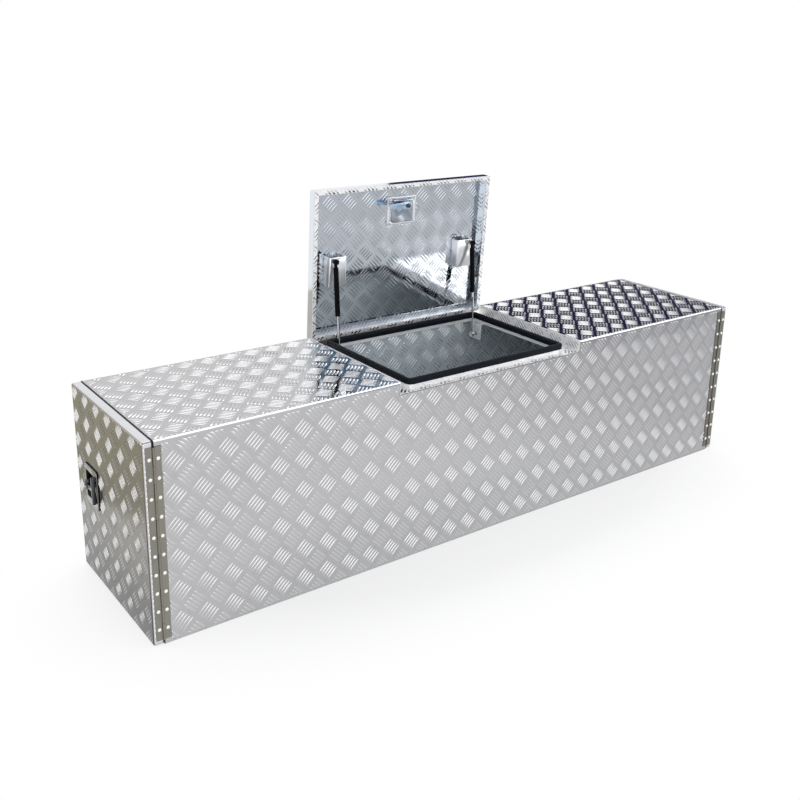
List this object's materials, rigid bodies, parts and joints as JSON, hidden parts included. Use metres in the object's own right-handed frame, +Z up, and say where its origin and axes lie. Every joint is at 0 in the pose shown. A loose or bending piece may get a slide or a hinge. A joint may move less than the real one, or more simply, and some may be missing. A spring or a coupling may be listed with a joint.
{
  "type": "trailer tool box",
  "caption": "Long polished tread-plate tool box with raised ends, a sealed top opening under a lid on gas struts, and a hinged door on each end.",
  "frame": {"origin": "centre of the box's underside", "axes": "+X along the box, towards the right end as seen from the front; +Y from front to rear; +Z up"},
  "size_m": [2.0256, 0.4786, 0.9247],
  "materials": {
    "tread_plate": "polished, with a raised five-bar tread pattern",
    "plain_aluminium": "dull mill finish",
    "seal_rubber": "satin black",
    "pin_steel": "dull",
    "lock_steel": "polished stainless",
    "handle_chrome": "smoky bright plating",
    "zinc_steel": "bluish bright zinc plating",
    "strut_black": "gloss black",
    "strut_rod_steel": "polished",
    "bracket_aluminium": "bright mill finish"
  },
  "bodies": {
    "base": {"front_top_sheet": "tread_plate", "rear_floor_sheet": "tread_plate", "opening_pan": "tread_plate", "lid_seal": "seal_rubber", "lid_hinge_body_leaf": "plain_aluminium", "lid_hinge_pin": "pin_steel", "left_end_frame": "plain_aluminium", "left_door_seal": "seal_rubber", "left_hinge_body_leaf": "plain_aluminium", "left_hinge_pin": "pin_steel", "left_strut_foot_bracket": "bracket_aluminium", "left_strut_foot_ball_stud": "pin_steel", "right_end_frame": "plain_aluminium", "right_door_seal": "seal_rubber", "right_hinge_body_leaf": "plain_aluminium", "right_hinge_pin": "pin_steel", "right_strut_foot_bracket": "bracket_aluminium", "right_strut_foot_ball_stud": "pin_steel"},
    "lid": {"lid": "tread_plate", "lid_hinge_lid_leaf": "plain_aluminium", "lid_lock_dish": "lock_steel", "lid_lock_gasket": "seal_rubber", "lid_lock_clamp": "lock_steel", "lid_lock_nut_1": "lock_steel", "lid_lock_nut_2": "lock_steel", "lid_lock_nut_3": "lock_steel", "lid_lock_nut_4": "lock_steel", "left_lid_strut_bracket": "bracket_aluminium", "right_lid_strut_bracket": "bracket_aluminium", "left_strut_head_ball_stud": "pin_steel", "right_strut_head_ball_stud": "pin_steel"},
    "left_door": {"left_door": "tread_plate", "left_hinge_door_leaf": "plain_aluminium", "left_lock_dish": "lock_steel", "left_lock_gasket": "seal_rubber", "left_lock_clamp": "lock_steel"},
    "right_door": {"right_door": "tread_plate", "right_hinge_door_leaf": "plain_aluminium", "right_lock_dish": "lock_steel", "right_lock_gasket": "seal_rubber", "right_lock_clamp": "lock_steel"},
    "lid_latch": {"lid_lock_spindle": "handle_chrome", "lid_lock_cam": "zinc_steel"},
    "lid_handle": {"lid_lock_handle": "handle_chrome"},
    "lid_key": {"lid_lock_key_plug": "lock_steel"},
    "left_latch": {"left_lock_spindle": "handle_chrome", "left_lock_cam": "zinc_steel"},
    "left_handle": {"left_lock_handle": "handle_chrome"},
    "left_key": {"left_lock_key_plug": "lock_steel"},
    "right_latch": {"right_lock_spindle": "handle_chrome", "right_lock_cam": "zinc_steel"},
    "right_handle": {"right_lock_handle": "handle_chrome"},
    "right_key": {"right_lock_key_plug": "lock_steel"},
    "left_strut_rod": {"left_strut_rod": "strut_rod_steel"},
    "left_strut_tube": {"left_strut_tube": "strut_black"},
    "right_strut_rod": {"right_strut_rod": "strut_rod_steel"},
    "right_strut_tube": {"right_strut_tube": "strut_black"}
  },
  "joints": [
    {"name": "lid_hinge", "type": "hinge", "parent": "base", "child": "lid", "pos_m": [0, 0.2285, 0.4775], "axis": [1, 0, 0], "range_deg": [0, 86.5], "stiffness_Nm_per_rad": 2, "springref_deg": -137.51},
    {"name": "left_door_hinge", "type": "hinge", "parent": "base", "child": "left_door", "pos_m": [-0.9755, -0.228, 0.25], "axis": [0, 0, 1], "range_deg": [0, 160]},
    {"name": "right_door_hinge", "type": "hinge", "parent": "base", "child": "right_door", "pos_m": [0.9755, -0.228, 0.25], "axis": [0, 0, -1], "range_deg": [0, 160]},
    {"name": "lid_latch_turn", "type": "hinge", "parent": "lid", "child": "lid_latch", "pos_m": [0, 0.22558, 0.86104], "axis": [0, 0.9981, 0.061], "range_deg": [0, 90]},
    {"name": "left_latch_turn", "type": "hinge", "parent": "left_door", "child": "left_latch", "pos_m": [-1, 0.138, 0.2625], "axis": [-1, 0, 0], "range_deg": [0, 90]},
    {"name": "right_latch_turn", "type": "hinge", "parent": "right_door", "child": "right_latch", "pos_m": [1, 0.138, 0.2625], "axis": [-1, 0, 0], "range_deg": [0, 90]},
    {"name": "lid_handle_fold", "type": "hinge", "parent": "lid_latch", "child": "lid_handle", "pos_m": [0, 0.23346, 0.85501], "axis": [1, 0, 0], "range_deg": [0, 85]},
    {"name": "left_handle_fold", "type": "hinge", "parent": "left_latch", "child": "left_handle", "pos_m": [-1.0075, 0.1315, 0.2625], "axis": [0, 0, -1], "range_deg": [0, 85]},
    {"name": "right_handle_fold", "type": "hinge", "parent": "right_latch", "child": "right_handle", "pos_m": [1.0075, 0.1315, 0.2625], "axis": [0, 0, 1], "range_deg": [0, 85]},
    {"name": "lid_key_turn", "type": "hinge", "parent": "lid_latch", "child": "lid_key", "pos_m": [0, 0.23579, 0.86617], "axis": [0, 0.9981, 0.061], "range_deg": [0, 90]},
    {"name": "left_key_turn", "type": "hinge", "parent": "left_latch", "child": "left_key", "pos_m": [-1.0105, 0.1425, 0.2625], "axis": [-1, 0, 0], "range_deg": [0, 90]},
    {"name": "right_key_turn", "type": "hinge", "parent": "right_latch", "child": "right_key", "pos_m": [1.0105, 0.1425, 0.2625], "axis": [-1, 0, 0], "range_deg": [0, 90]},
    {"name": "left_strut_pivot", "type": "hinge", "parent": "base", "child": "left_strut_rod", "pos_m": [-0.25, 0.17, 0.43], "axis": [1, 0, 0], "range_deg": [0, 86.7]},
    {"name": "left_strut_slide", "type": "slide", "parent": "left_strut_rod", "child": "left_strut_tube", "axis": [0, 0.0688, 0.9976], "range_m": [-0.1034, 0]},
    {"name": "right_strut_pivot", "type": "hinge", "parent": "base", "child": "right_strut_rod", "pos_m": [0.25, 0.17, 0.43], "axis": [1, 0, 0], "range_deg": [0, 86.7]},
    {"name": "right_strut_slide", "type": "slide", "parent": "right_strut_rod", "child": "right_strut_tube", "axis": [0, 0.0688, 0.9976], "range_m": [-0.1034, 0]}
  ],
  "couplings": [
    {"joint": "left_strut_pivot", "follows": "lid_hinge", "ratio": 1.0015},
    {"joint": "left_strut_slide", "follows": "lid_hinge", "m_per_rad": -0.0684},
    {"joint": "right_strut_pivot", "follows": "lid_hinge", "ratio": 1.0015},
    {"joint": "right_strut_slide", "follows": "lid_hinge", "m_per_rad": -0.0684}
  ]
}
